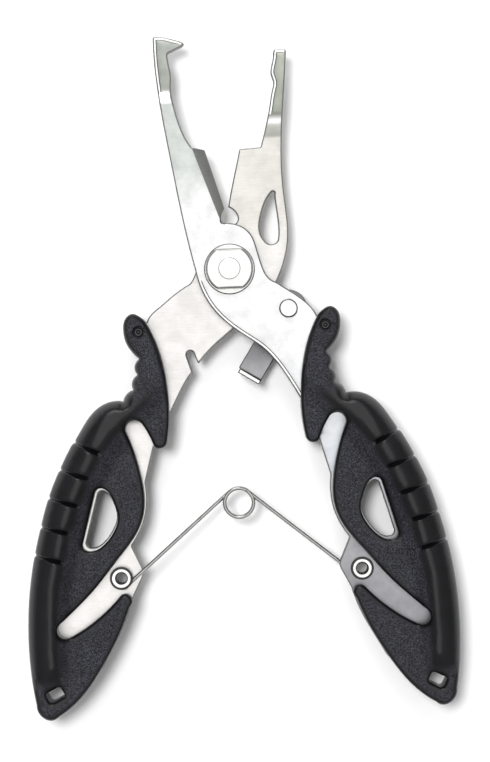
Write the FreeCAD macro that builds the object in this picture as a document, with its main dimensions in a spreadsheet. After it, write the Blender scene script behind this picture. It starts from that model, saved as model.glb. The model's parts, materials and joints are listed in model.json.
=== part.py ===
import FreeCAD, Part
import math
import os

import Sketcher
from FreeCAD import Placement, Rotation, Vector

# Stamped split-ring fishing pliers, lying on their back: jaws towards +Y, front face up (+Z).
# Plan positions are measured from the pivot axis, heights from the plane where the two levers meet.
# Positive x is the right-hand handle; the left-hand handle is its mirror image.

SIZES = [
    ("pivot_y", 19.0, "pivot axis ahead of the middle of the length"),
    ("pivot_z", 6.0, "mid-plane above the table, half of the handle's depth"),
    ("plate_thickness", 1.8, "both stamped levers"),
    ("plate_gap", 0.05, "air between the two levers"),
    ("plan_depth", 12.0, "depth of the plan blanks before they are trimmed to the folded sheet"),
    ("blank_width", 90.0, "width of the folded sheet before it is trimmed to plan"),
    ("shoulder_radius", 2.5, "screw shoulder that the levers turn on"),
    ("running_clearance", 0.05, "radial play of every turning fit"),
    ("thread_radius", 2.0, "M4 end of the screw"),
    ("thread_length", 3.1, "thread above the front washer's seat"),
    ("washer_radius", 4.65, "both pivot washers"),
    ("washer_thickness", 0.5, "both pivot washers"),
    ("nut_radius", 4.35, "round of the nut"),
    ("nut_flats", 7.3, "across the two flats"),
    ("nut_height", 2.1, "pivot nut"),
    ("head_radius", 4.2, "screw head"),
    ("head_height", 2.0, "screw head"),
    ("socket_radius", 1.45, "corner radius of the hexagon socket"),
    ("socket_depth", 1.2, "hexagon socket"),
    ("latch_x", 10.5, "latch rivet"),
    ("latch_y", -7.6, "latch rivet"),
    ("latch_thickness", 1.2, "latch sheet"),
    ("latch_head_radius", 3.6, "round end of the latch"),
    ("latch_half_width", 2.4, "half of the latch arm"),
    ("latch_reach", 14.4, "rivet to the middle of the lip"),
    ("latch_bearing", 230.4, "direction of the arm when it is locked, in degrees"),
    ("latch_rest", 7.0, "how far the latch is swung clear of the lever's sweep, in degrees"),
    ("lip_thickness", 0.9, "lip that drops into the slot"),
    ("lip_left", 2.1, "lip past the arm's middle line, on the slot's side"),
    ("lip_right", 2.4, "lip past the arm's middle line, on the other side"),
    ("lip_top", 0.4, "lip above the mid-plane"),
    ("rivet_radius", 1.2, "shank of the latch rivet"),
    ("rivet_head_radius", 1.7, "both heads of the latch rivet"),
    ("rivet_head_height", 0.5, "both heads of the latch rivet"),
    ("spacer_radius", 2.4, "bush that holds the latch behind the rear lever"),
    ("close_angle", 26.0, "travel of the rear lever, in degrees"),
    ("slot_inner", 13.8, "near wall of the locking slot, from the rivet when locked"),
    ("slot_outer", 15.2, "far wall of the locking slot, from the rivet when locked"),
    ("eyelet_x", 22.1, "spring eyelet"),
    ("eyelet_y", -55.8, "spring eyelet"),
    ("eyelet_bore", 1.0, "hole through the eyelet"),
    ("eyelet_radius", 1.3, "barrel of the eyelet"),
    ("flange_radius", 2.1, "both rims of the eyelet"),
    ("flange_thickness", 0.4, "both rims of the eyelet"),
    ("wire_radius", 0.35, "spring wire"),
    ("coil_radius", 2.65, "middle of the wire in the coil"),
    ("coil_y", -42.9, "coil axis when the pliers are open"),
    ("coil_pitch", 0.66, "from one ring of the coil to the next"),
    ("coil_split", 0.06, "air between the two halves of the coil"),
    ("leg_flat", 6.0, "straight end of a spring leg, lying along the tang"),
    ("loop_sweep", 300.0, "how far the wire goes round the eyelet, in degrees"),
    ("bevel_length", 15.0, "ground cutting edge"),
    ("bevel_width", 4.0, "block that grinds the cutting edge"),
    ("bevel_angle", 30.0, "cutting bevel from the face, in degrees"),
    ("web_depth", 3.2, "handle web, from the mid-plane"),
    ("ridge_shoulder", 4.8, "side of the handle ridge, from the mid-plane"),
    ("ridge_depth", 6.0, "crest of the handle ridge, from the mid-plane"),
    ("guard_pin_x", 17.1, "pin in the finger guard"),
    ("guard_pin_y", -10.9, "pin in the finger guard"),
    ("tail_pin_x", 29.0, "pin near the handle's end"),
    ("tail_pin_y", -69.5, "pin near the handle's end"),
    ("pin_radius", 1.1, "handle pins"),
    ("pin_recess", 0.3, "handle pins below the web's face"),
    ("lanyard_x", 35.0, "lanyard hole"),
    ("lanyard_y", -76.6, "lanyard hole"),
    ("lanyard_length", 3.2, "lanyard hole"),
    ("lanyard_width", 2.2, "lanyard hole"),
    ("lanyard_corner", 0.5, "lanyard hole"),
    ("lanyard_angle", -27.0, "tilt of the right-hand lanyard hole, in degrees"),
]

doc = FreeCAD.newDocument("fishing_pliers")
sheet = doc.addObject("Spreadsheet::Sheet", "Sizes")
for row, (alias, value, note) in enumerate(SIZES, 1):
    sheet.set(f"A{row}", note)
    sheet.set(f"B{row}", str(value))
    sheet.setAlias(f"B{row}", alias)
doc.recompute()

LEFT = -1
RIGHT = 1
FRONT = 1
BACK = -1
UPRIGHT = Rotation()
FLIPPED = Rotation(Vector(0, 1, 0), 180)
SEATS = {RIGHT: UPRIGHT, LEFT: FLIPPED}
SIDES = {RIGHT: "right", LEFT: "left"}
FACES = {FRONT: "front", BACK: "back"}

subparts = []


def size(alias):
    return float(sheet.get(alias))


def bind(obj, **formulas):
    """Bind properties to formulas over the sheet's aliases, written here as S.alias."""
    for name, formula in formulas.items():
        obj.setExpression(name, formula.replace("S.", "Sizes."))


def subpart(obj, node, seat=UPRIGHT):
    """Name an object as an exported piece and seat it on the pivot axis."""
    obj.Label = node
    obj.Placement = Placement(Vector(0, size("pivot_y"), size("pivot_z")), seat)
    obj.setExpression("Placement.Base.y", "Sizes.pivot_y")
    obj.setExpression("Placement.Base.z", "Sizes.pivot_z")
    subparts.append(obj)
    return obj


def polar(centre, radius, degrees):
    angle = math.radians(degrees)
    return (centre[0] + radius * math.cos(angle), centre[1] + radius * math.sin(angle))


def turned(point, degrees):
    """A plan point turned about the pivot axis."""
    angle = math.radians(degrees)
    x, y = point
    return (x * math.cos(angle) - y * math.sin(angle), x * math.sin(angle) + y * math.cos(angle))


# Outlines. Every outline is a list of stretches: a line to one point, an arc through one point to the
# next, or a curve through several. Each stretch starts where the one before it ends.

# The tang inside the handle, from the guard's shoulder round the outer side and back up to the neck.
TANG = [
    [(16.6, -9.0), (17.8, -9.2), (18.6, -10.8), (18.2, -12.8), (16.8, -14.4), (15.8, -16.6),
     (15.9, -20.0),
     (18.0, -23.2), (21.6, -26.2)],
    [(27.5, -36.5), (33.0, -51.0), (35.2, -61.0), (34.9, -68.5), (33.0, -72.4), (30.0, -73.4)],
    [(27.6, -73.2), (25.8, -71.6)],
    [(22.6, -65.9), (20.5, -61.1), (20.0, -59.3)],
    [(18.3, -56.0)],
    [(18.0, -55.0), (18.2, -54.0)],
    [(20.0, -50.0)],
    [(18.4, -47.5), (17.1, -44.0), (16.8, -41.0), (17.0, -38.4)],
]

# The front lever, from the hook's point down its inner edge to the guard, and back up its outer edge.
FRONT_JAW = [
    [(-7.0, 41.3)],
    [(-9.3, 40.3)],
    [(-9.75, 40.0), (-9.8, 39.5)],
    [(-9.5, 37.4), (-9.3, 36.0), (-9.4, 34.0), (-9.3, 32.0), (-8.9, 30.0), (-7.4, 25.0), (-6.0, 22.5)],
    [(-3.7, 22.1)],
    [(-0.5, 11.2)],
    [(-1.1, 9.9), (-1.2, 8.6)],
    [(0.7, 8.4), (2.5, 7.8), (4.2, 6.2), (5.0, 4.2), (6.0, 0.4), (7.1, -1.8), (8.5, -2.7)],
    [(11.0, -4.4), (13.5, -6.3), (15.0, -7.9), (15.7, -9.2)],
]
FRONT_NECK = [
    [(15.3, -32.2)],
    [(13.6, -27.4), (11.0, -22.3), (8.3, -17.9), (5.2, -14.4), (3.0, -12.8), (0.0, -10.6), (-3.0, -7.6),
     (-5.0, -4.3), (-6.3, 0.0)],
    [(-8.0, 8.0), (-10.0, 20.0), (-11.5, 30.0), (-12.2, 36.5), (-12.4, 42.7)],
    [(-12.3, 43.1), (-11.8, 43.2)],
    [(-10.0, 43.0), (-8.0, 42.4), (-7.1, 42.1), (-6.7, 41.7)],
]

# The rear lever, seen from behind, in the same order.
REAR_JAW = [
    [(-9.6, 39.5)],
    [(-9.3, 37.5), (-9.0, 35.5), (-9.4, 34.2), (-9.1, 32.5), (-8.6, 30.0), (-7.4, 25.0), (-6.6, 22.3)],
    [(-2.7, 22.1)],
    [(-2.2, 20.0), (-1.2, 16.0), (-0.2, 11.5)],
    [(-1.5, 10.5), (-1.9, 9.5), (-1.3, 8.3)],
    [(1.0, 8.0), (4.3, 6.0), (5.9, 1.0), (7.4, -2.3)],
    [(9.0, -3.2), (11.0, -4.6), (13.0, -6.2), (15.0, -7.9), (15.7, -9.2)],
]
REAR_TEARDROP = [
    [(-8.6, 14.1), (-8.8, 13.5)],
    [(-9.1, 10.0), (-9.3, 7.0), (-9.1, 5.0)],
    [(-8.2, 4.4), (-6.6, 5.2)],
    [(-6.0, 6.2), (-5.8, 7.6), (-6.3, 10.2), (-7.1, 12.3), (-8.3, 14.0)],
]


def rear_neck():
    """The rear lever from its tang up to the jaw's tip, with the slot for the latch lip.

    The slot's walls are arcs about the place where the rivet stands when the pliers are closed.
    """
    x, y = turned((size("latch_x"), size("latch_y")), -size("close_angle"))
    rivet = (-x, y)
    bearing = 180 - (size("latch_bearing") - size("close_angle"))
    near = size("slot_inner")
    far = size("slot_outer")
    return [
        [(15.3, -32.2)],
        [(12.0, -26.0), (10.5, -23.2), (9.0, -20.5), (7.6, -18.6)],
        [polar(rivet, far, bearing + 5.5), polar(rivet, far, bearing + 8.9)],
        [polar(rivet, (near + far) / 2, bearing + 11.6), polar(rivet, near, bearing + 8.9)],
        [polar(rivet, near, bearing + 4.5), polar(rivet, near, bearing + 0.9)],
        [(6.45, -17.0), (6.2, -16.8)],
        [(4.6, -15.0), (3.2, -13.7), (1.5, -12.3), (0.0, -11.1)],
        [(-1.6, -9.6), (-3.2, -8.3)],
        [(-7.2, -5.4), (-8.5, -2.7)],
        [(-9.9, 0.4), (-11.0, 5.0), (-10.6, 14.0), (-10.5, 22.0), (-11.1, 30.0), (-12.0, 39.5)],
        [(-11.9, 39.9), (-11.6, 40.0)],
        [(-9.8, 40.0)],
    ]


# The handle's outline, from the inner edge of the finger guard round to the same place.
HANDLE = [
    [(17.0, -7.9), (18.2, -7.5), (19.4, -8.3), (19.9, -10.4), (19.5, -12.7), (18.6, -14.3),
     (17.2, -15.8)],
    [(18.1, -17.4), (17.6, -18.7)],
    [(18.7, -20.2), (18.5, -21.4)],
    [(20.1, -22.6), (20.4, -23.5)],
    [(22.0, -23.3), (24.0, -23.8), (25.8, -25.0), (28.0, -27.8), (30.3, -31.2)],
    [(32.6, -35.5), (34.8, -40.5), (36.5, -46.0), (38.0, -52.0), (39.2, -60.0), (39.5, -66.0),
     (39.3, -72.0),
     (38.5, -78.3)],
    [(37.9, -80.2), (36.4, -81.2), (34.5, -80.6)],
    [(30.0, -77.0), (26.0, -71.6), (22.8, -66.0), (20.7, -61.0)],
    [(20.6, -59.0), (22.4, -59.0)],
    [(25.0, -61.6), (28.2, -64.1), (31.8, -66.2)],
    [(33.9, -65.2), (33.0, -63.2)],
    [(30.0, -60.5), (26.5, -57.0), (22.5, -52.2), (19.0, -47.8), (17.5, -44.2), (17.2, -41.0),
     (17.7, -37.0),
     (19.0, -32.0), (20.1, -28.9)],
    [(19.3, -27.2), (17.2, -27.6)],
    [(16.3, -29.1), (15.2, -31.6)],
    [(13.9, -32.3), (12.7, -31.2)],
    [(12.1, -26.5), (12.2, -21.5), (13.2, -15.3), (15.8, -9.0)],
]

# The raised ridge along the outer side of the handle.
RIDGE = [
    [(27.3, -27.7), (29.8, -31.2), (34.3, -40.7), (37.5, -52.1), (39.0, -66.0), (38.0, -77.6)],
    [(36.4, -78.0), (34.9, -76.4)],
    [(34.4, -73.0), (34.4, -62.0), (33.0, -54.0), (29.4, -42.1), (25.4, -33.2), (21.6, -28.4)],
    [(21.6, -25.6), (24.3, -25.0)],
]

CREST = [
    [(26.4, -28.4), (28.8, -31.9), (33.2, -41.2), (36.4, -52.4), (37.9, -66.0), (37.1, -76.0)],
    [(36.3, -76.7), (35.7, -75.9)],
    [(35.5, -73.0), (35.5, -62.0), (34.1, -53.7), (30.5, -41.7), (26.5, -32.7), (23.1, -28.2)],
    [(23.0, -26.8), (24.2, -26.4)],
]

WINDOW = [
    [(28.9, -49.3)],
    [(28.4, -50.4), (27.0, -50.6), (25.0, -49.5), (23.0, -47.0), (22.2, -44.5), (22.8, -42.0),
     (24.0, -39.7),
     (25.2, -39.1), (26.2, -39.8)],
]
TANG_WINDOW = [
    [(28.3, -49.1)],
    [(27.9, -49.9), (26.9, -50.1), (25.2, -49.2), (23.3, -46.8), (22.5, -44.5), (23.0, -42.1),
     (24.1, -40.2),
     (25.0, -39.7), (25.8, -40.2)],
]


def stretch(points):
    corners = [Vector(x, y, 0) for x, y in points]
    if len(corners) == 2:
        return Part.LineSegment(*corners)
    if len(corners) == 3:
        return Part.Arc(*corners)
    curve = Part.BSplineCurve()
    curve.interpolate(corners)
    return curve


def draw(sketch, path):
    """Add a closed outline to a sketch, with every stretch locked where it is drawn."""
    start = path[-1][-1]
    for points in path:
        index = sketch.addGeometry(stretch([start] + points))
        sketch.addConstraint(Sketcher.Constraint("Block", index))
        start = points[-1]


def draw_circle(sketch, radius, x=None, y=None):
    """Add a circle whose radius and centre follow the sheet."""
    index = sketch.addGeometry(Part.Circle(Vector(1, 1, 0), Vector(0, 0, 1), 1))
    number = sketch.addConstraint(Sketcher.Constraint("Radius", index, 1.0))
    formulas = {f"Constraints[{number}]": radius}
    if x is None:
        sketch.addConstraint(Sketcher.Constraint("Coincident", index, 3, -1, 1))
    else:
        across = sketch.addConstraint(Sketcher.Constraint("DistanceX", -1, 1, index, 3, 1.0))
        along = sketch.addConstraint(Sketcher.Constraint("DistanceY", -1, 1, index, 3, 1.0))
        formulas[f"Constraints[{across}]"] = x
        formulas[f"Constraints[{along}]"] = y
    bind(sketch, **formulas)


# Solids shared by several pieces.

def cylinder(name, radius, height, z="0 mm", x="0 mm", y="0 mm"):
    obj = doc.addObject("Part::Cylinder", name)
    bind(obj, **{
        "Radius": radius,
        "Height": height,
        "Placement.Base.x": x,
        "Placement.Base.y": y,
        "Placement.Base.z": z,
    })
    return obj


def fuse(name, *shapes):
    obj = doc.addObject("Part::MultiFuse", name)
    obj.Shapes = list(shapes)
    return obj


def cut(name, base, tool):
    obj = doc.addObject("Part::Cut", name)
    obj.Base = base
    obj.Tool = tool
    return obj


def common(name, first, second):
    obj = doc.addObject("Part::MultiCommon", name)
    obj.Shapes = [first, second]
    return obj


def extrusion(name, sketch, direction, length):
    obj = doc.addObject("Part::Extrusion", name)
    obj.Base = sketch
    obj.DirMode = "Custom"
    obj.Dir = direction
    obj.Solid = True
    obj.Symmetric = True
    obj.FaceMakerClass = "Part::FaceMakerBullseye"
    bind(obj, LengthFwd=length)
    return obj


# Levers. Each is a flat blank, trimmed to the side view of the folded sheet and ground to an edge.

def folded_sheet(name, jaw_fold, tang_fold):
    """The sheet from the side: on the mid-plane at the jaw's tip and in the tang, beside it between."""
    half = size("plate_thickness") / 2
    offset = half + size("plate_gap") / 2
    line = [
        (60, 0),
        (jaw_fold[0], 0),
        (jaw_fold[1], offset),
        (tang_fold[0], offset),
        (tang_fold[1], 0),
        (-90, 0),
    ]
    upper = [(y, z + half) for y, z in line]
    lower = [(y, z - half) for y, z in reversed(line)]
    sketch = doc.addObject("Sketcher::SketchObject", name + "_side")
    sketch.Placement = Placement(Vector(0, 0, 0), Rotation(Vector(1, 1, 1), 120))
    draw(sketch, [[point] for point in upper + lower])
    return extrusion(name + "_sheet", sketch, Vector(1, 0, 0), "S.blank_width")


def grinding_wheel(name, top, bottom):
    """A block whose lower face, tilted about the line from top to bottom, is the cutting bevel."""
    run = Vector(bottom[0] - top[0], bottom[1] - top[1], 0)
    heading = math.degrees(math.atan2(run.y, run.x))
    block = doc.addObject("Part::Box", name)
    bind(block, Length="S.bevel_length", Width="S.bevel_width", Height="S.bevel_width")
    tilt = Rotation(Vector(1, 0, 0), -size("bevel_angle"))
    turn = Rotation(Vector(0, 0, 1), heading)
    height = size("plate_thickness") + size("plate_gap") / 2
    block.Placement = Placement(Vector(top[0], top[1], height), turn * tilt)
    return block


def lever(name, path, windows, bore, bevel, jaw_fold, tang_fold):
    sketch = doc.addObject("Sketcher::SketchObject", name + "_plan")
    draw(sketch, path)
    for window in windows:
        draw(sketch, window)
    draw_circle(sketch, bore)
    draw_circle(sketch, "S.eyelet_radius", "S.eyelet_x", "S.eyelet_y")
    draw_circle(sketch, "S.pin_radius", "S.guard_pin_x", "S.guard_pin_y")
    draw_circle(sketch, "S.pin_radius", "S.tail_pin_x", "S.tail_pin_y")
    if name == "front_lever":
        draw_circle(sketch, "S.rivet_radius", "S.latch_x", "S.latch_y")
    blank = extrusion(name + "_blank", sketch, Vector(0, 0, 1), "S.plan_depth")
    trimmed = common(name + "_folded", blank, folded_sheet(name, jaw_fold, tang_fold))
    return cut(name, trimmed, grinding_wheel(name + "_grinding", *bevel))


def make_levers():
    front = lever("front_lever", FRONT_JAW + TANG + FRONT_NECK, [TANG_WINDOW], "S.shoulder_radius",
                  [(-6.1, 22.7), (-1.3, 8.9)], (33.0, 31.0), (-22.0, -27.5))
    rear = lever("rear_lever", REAR_JAW + TANG + rear_neck(), [TANG_WINDOW, REAR_TEARDROP],
                 "S.shoulder_radius + S.running_clearance",
                 [(-4.9, 22.6), (-2.1, 11.0)], (28.5, 24.2), (-22.0, -27.5))
    subpart(front, "front_lever")
    subpart(rear, "rear_lever", FLIPPED)
    return {RIGHT: front.Base, LEFT: rear.Base}


# Pivot: a shouldered screw from the back, a washer on each side and a round nut with two flats.

def make_pivot():
    front_face = "S.plate_thickness + S.plate_gap / 2"
    rear_face = f"-({front_face})"
    seat_z = f"{front_face} + S.washer_thickness"

    below = f"{rear_face} - S.washer_thickness - S.plate_gap"
    for name, hole, level in [
        ("front_washer", "S.thread_radius", front_face),
        ("rear_washer", "S.shoulder_radius", below),
    ]:
        disc = cylinder(name + "_disc", "S.washer_radius", "S.washer_thickness", level)
        drill = cylinder(name + "_hole", hole, "S.washer_thickness", level)
        subpart(cut(name, disc, drill), "pivot_" + name)

    round_nut = cylinder("nut_round", "S.nut_radius", "S.nut_height", seat_z)
    flats = doc.addObject("Part::Box", "nut_flats")
    bind(flats, **{
        "Length": "2 * S.nut_radius",
        "Width": "S.nut_flats",
        "Height": "S.nut_height",
        "Placement.Base.x": "-S.nut_radius",
        "Placement.Base.y": "-S.nut_flats / 2",
        "Placement.Base.z": seat_z,
    })
    blank = common("nut_blank", round_nut, flats)
    nut = cut("nut", blank, cylinder("nut_thread", "S.thread_radius", "S.nut_height", seat_z))
    subpart(nut, "pivot_nut")

    head_z = f"{below} - S.head_height"
    socket = doc.addObject("Part::Prism", "screw_socket")
    bind(socket, **{
        "Circumradius": "S.socket_radius",
        "Height": "S.socket_depth",
        "Placement.Base.z": head_z,
    })
    screw = fuse(
        "screw_blank",
        cylinder("screw_head", "S.head_radius", "S.head_height", head_z),
        cylinder("screw_shoulder", "S.shoulder_radius", f"({front_face}) - ({below})", below),
        cylinder("screw_thread", "S.thread_radius", "S.thread_length", front_face),
    )
    subpart(cut("screw", screw, socket), "pivot_screw")


# Latch: a flat arm behind the rear lever, whose turned-up lip drops into that lever's slot.

def make_latch():
    body = doc.addObject("PartDesign::Body", "latch")
    arm_sketch = body.newObject("Sketcher::SketchObject", "latch_arm_plan")
    attach(arm_sketch, body)
    half = size("latch_half_width")
    head = size("latch_head_radius")
    reach = size("latch_reach")
    shoulder = math.sqrt(head ** 2 - half ** 2)
    near = reach - size("lip_thickness") / 2
    far = reach + size("lip_thickness") / 2
    left = size("lip_left")
    right = size("lip_right")
    draw(arm_sketch, [
        [(near, -half)],
        [(near, -left)],
        [(far, -left)],
        [(far, right)],
        [(near, right)],
        [(shoulder, half)],
        [(-head, 0), (shoulder, -half)],
    ])
    draw_circle(arm_sketch, "S.rivet_radius + S.running_clearance")
    arm = body.newObject("PartDesign::Pad", "latch_arm")
    arm.Profile = arm_sketch
    bind(arm, Length="S.latch_thickness")
    lip_sketch = body.newObject("Sketcher::SketchObject", "latch_lip_plan")
    attach(lip_sketch, body)
    draw(lip_sketch, [[(far, -left)], [(far, right)], [(near, right)], [(near, -left)]])
    lip = body.newObject("PartDesign::Pad", "latch_lip")
    lip.Profile = lip_sketch
    bind(lip, Length="S.lip_top + S.plate_gap * 1.5 + S.plate_thickness + S.latch_thickness")
    body.Tip = lip
    level = "S.pivot_z - S.plate_gap * 1.5 - S.plate_thickness - S.latch_thickness"
    subpart(body, "latch")
    bearing = size("latch_bearing") + size("latch_rest")
    body.Placement.Rotation = Rotation(Vector(0, 0, 1), bearing)
    bind(body, **{
        "Placement.Base.x": "S.latch_x",
        "Placement.Base.y": "S.pivot_y + S.latch_y",
        "Placement.Base.z": level,
    })

    x = "S.latch_x"
    y = "S.latch_y"
    top = "S.plate_thickness + S.plate_gap / 2"
    behind = "-(S.plate_gap * 1.5 + S.plate_thickness + S.latch_thickness + S.plate_gap)"
    rivet = fuse(
        "rivet_blank",
        cylinder("rivet_shank", "S.rivet_radius", f"({top}) - ({behind})", behind, x, y),
        cylinder("rivet_front_head", "S.rivet_head_radius", "S.rivet_head_height", top, x, y),
        cylinder("rivet_rear_head", "S.rivet_head_radius", "S.rivet_head_height",
                 f"{behind} - S.rivet_head_height", x, y),
    )
    subpart(rivet, "latch_rivet")

    bottom = "-(S.plate_gap / 2 + S.plate_thickness)"
    height = "S.plate_thickness + S.plate_gap"
    bush = cylinder("spacer_round", "S.spacer_radius", height, bottom, x, y)
    bore = cylinder("spacer_bore", "S.rivet_radius", height, bottom, x, y)
    subpart(cut("spacer", bush, bore), "latch_spacer")


def attach(sketch, body):
    """Lay a sketch on the body's own XY plane."""
    plane = next(item for item in body.Origin.OriginFeatures if item.Role == "XY_Plane")
    sketch.AttachmentSupport = [(plane, "")]
    sketch.MapMode = "FlatFace"


# Handles: two moulded shells clamp each tang, with a pin through the guard and one near the end.

def pad(body, name, path, depth, face):
    sketch = body.newObject("Sketcher::SketchObject", name + "_plan")
    attach(sketch, body)
    draw(sketch, path)
    feature = body.newObject("PartDesign::Pad", name)
    feature.Profile = sketch
    feature.Reversed = face == BACK
    bind(feature, Length=depth)
    return feature


def lanyard_hole():
    """A small rounded rectangle across the handle's end."""
    half_length = size("lanyard_length") / 2
    half_width = size("lanyard_width") / 2
    corner = size("lanyard_corner")
    tilt = math.radians(size("lanyard_angle"))

    def at(along, across):
        x = size("lanyard_x") + along * math.cos(tilt) - across * math.sin(tilt)
        y = size("lanyard_y") + along * math.sin(tilt) + across * math.cos(tilt)
        return (x, y)

    inner = corner * (1 - math.sqrt(0.5))
    path = []
    for end_x, end_y in [(1, -1), (1, 1), (-1, 1), (-1, -1)]:
        before = at(end_x * half_length, end_y * (half_width - corner))
        after = at(end_x * (half_length - corner), end_y * half_width)
        middle = at(end_x * (half_length - inner), end_y * (half_width - inner))
        if end_x * end_y < 0:
            before, after = after, before
        path.append([before])
        path.append([middle, after])
    return path


def shell(side, face, tang):
    name = f"{SIDES[side]}_{FACES[face * side]}_shell"
    body = doc.addObject("PartDesign::Body", name + "_body")
    pad(body, name + "_web", HANDLE, "S.web_depth", face)
    pad(body, name + "_ridge", RIDGE, "S.ridge_shoulder", face)
    pad(body, name + "_crest", CREST, "S.ridge_depth", face)
    openings = body.newObject("Sketcher::SketchObject", name + "_openings")
    attach(openings, body)
    draw(openings, WINDOW)
    draw(openings, lanyard_hole())
    draw_circle(openings, "S.pin_radius", "S.guard_pin_x", "S.guard_pin_y")
    pocket = body.newObject("PartDesign::Pocket", name + "_pocket")
    pocket.Profile = openings
    pocket.Type = "ThroughAll"
    pocket.Midplane = True
    body.Tip = pocket
    drilled = cut(name + "_drilled", body, cylinder(name + "_pin_hole", "S.pin_radius",
                  "2 * (S.web_depth - S.pin_recess)", "-(S.web_depth - S.pin_recess)",
                  "S.tail_pin_x", "S.tail_pin_y"))
    subpart(cut(name + "_fitted", drilled, tang), name, SEATS[side])


def handle_pin(side, name, x, y):
    pin = cylinder(f"{SIDES[side]}_{name}", "S.pin_radius", "2 * (S.web_depth - S.pin_recess)")
    subpart(pin, f"{SIDES[side]}_{name}")
    bind(pin, **{
        "Placement.Base.x": f"{side} * {x}",
        "Placement.Base.y": f"S.pivot_y + {y}",
        "Placement.Base.z": "S.pivot_z - (S.web_depth - S.pin_recess)",
    })


def make_handle(side, tang):
    for face in (FRONT, BACK):
        shell(side, face, tang)
    handle_pin(side, "guard_pin", "S.guard_pin_x", "S.guard_pin_y")
    handle_pin(side, "tail_pin", "S.tail_pin_x", "S.tail_pin_y")


# Spring: one wire with an eyelet for each end, split at the middle of its coil into two halves of the
# same shape. Each half is a leg with a loop round its eyelet. The right one is drawn, the left flipped.

def make_eyelet(side):
    name = f"{SIDES[side]}_eyelet"
    x = "S.eyelet_x"
    y = "S.eyelet_y"
    face = "S.plate_thickness / 2"
    bottom = f"-({face} + 2 * (S.wire_radius + S.running_clearance) + S.flange_thickness)"
    length = f"{face} + S.flange_thickness - ({bottom})"
    blank = fuse(
        name + "_blank",
        cylinder(name + "_barrel", "S.eyelet_radius", length, bottom, x, y),
        cylinder(name + "_rim", "S.flange_radius", "S.flange_thickness", face, x, y),
        cylinder(name + "_wire_rim", "S.flange_radius", "S.flange_thickness", bottom, x, y),
    )
    bore = cylinder(name + "_bore", "S.eyelet_bore", length, bottom, x, y)
    subpart(cut(name, blank, bore), name, SEATS[side])


def wire_arc(centre, radius, start, sweep):
    """A bend in the wire, level, from a start angle on through a sweep, in degrees."""
    bend = Part.makeTorus(radius, size("wire_radius"), Vector(), Vector(0, 0, 1), 0, 360, sweep)
    bend.rotate(Vector(), Vector(0, 0, 1), start)
    bend.translate(centre)
    return bend


def spring_shape():
    wire = size("wire_radius")
    coil = Vector(0, size("coil_y"), size("coil_split") / 2 + wire)
    top_ring = coil + Vector(0, 0, size("coil_pitch"))
    loop_radius = size("eyelet_radius") + size("running_clearance") + wire
    loop_z = -(size("plate_thickness") / 2 + size("running_clearance") + wire)
    loop = Vector(size("eyelet_x"), size("eyelet_y"), loop_z)

    span = Vector(loop.x, loop.y - coil.y, 0)
    crossing = math.asin((size("coil_radius") + loop_radius) / span.Length)
    heading = math.atan2(span.y, span.x) - crossing
    along = Vector(math.cos(heading), math.sin(heading), 0)
    outward = Vector(-along.y, along.x, 0)
    leg_start = math.degrees(heading) + 90

    at_coil = top_ring + outward * size("coil_radius")
    at_loop = loop - outward * loop_radius
    bend = at_loop - along * size("leg_flat")
    ring = wire_arc(coil, size("coil_radius"), 0, 360)
    pieces = [
        wire_arc(top_ring, size("coil_radius"), leg_start, 270 - leg_start),
        wire_arc(loop, loop_radius, leg_start - 180, size("loop_sweep")),
    ]
    for first, second in [(at_coil, bend), (bend, at_loop)]:
        run = second - first
        pieces.append(Part.makeCylinder(wire, run.Length, first, run))
    for corner in (at_coil, bend, at_loop):
        pieces.append(Part.makeSphere(wire, corner))
    return ring.fuse(pieces).removeSplitter().Solids[0]


def make_spring():
    shape = spring_shape()
    for side in (RIGHT, LEFT):
        half = doc.addObject("Part::Feature", f"spring_{SIDES[side]}")
        half.Shape = shape
        subpart(half, f"spring_{SIDES[side]}_half", SEATS[side])


def report(obj):
    shape = obj.Shape
    if shape.isNull() or not shape.isValid():
        raise RuntimeError(f"{obj.Label} has no valid shape")
    box = shape.BoundBox
    print(f"{obj.Label:24s} {len(shape.Solids)} solid {shape.Volume:9.1f} mm3  "
          f"x {box.XMin:6.1f} {box.XMax:6.1f}  y {box.YMin:6.1f} {box.YMax:6.1f}  "
          f"z {box.ZMin:5.1f} {box.ZMax:5.1f}")


tangs = make_levers()
make_pivot()
make_latch()
for side in (RIGHT, LEFT):
    make_handle(side, tangs[side])
    make_eyelet(side)
make_spring()
doc.recompute()

for obj in doc.Objects:
    if "Invalid" in obj.State or "Error" in obj.State:
        raise RuntimeError(f"{obj.Name} failed: {obj.State}")
os.makedirs("parts", exist_ok=True)
for obj in subparts:
    report(obj)
    obj.Shape.exportStep(f"parts/{obj.Label}.step")
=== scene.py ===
import json
import math

import bmesh
import bpy
import numpy as np
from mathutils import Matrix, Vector
from mathutils.geometry import delaunay_2d_cdt

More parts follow.
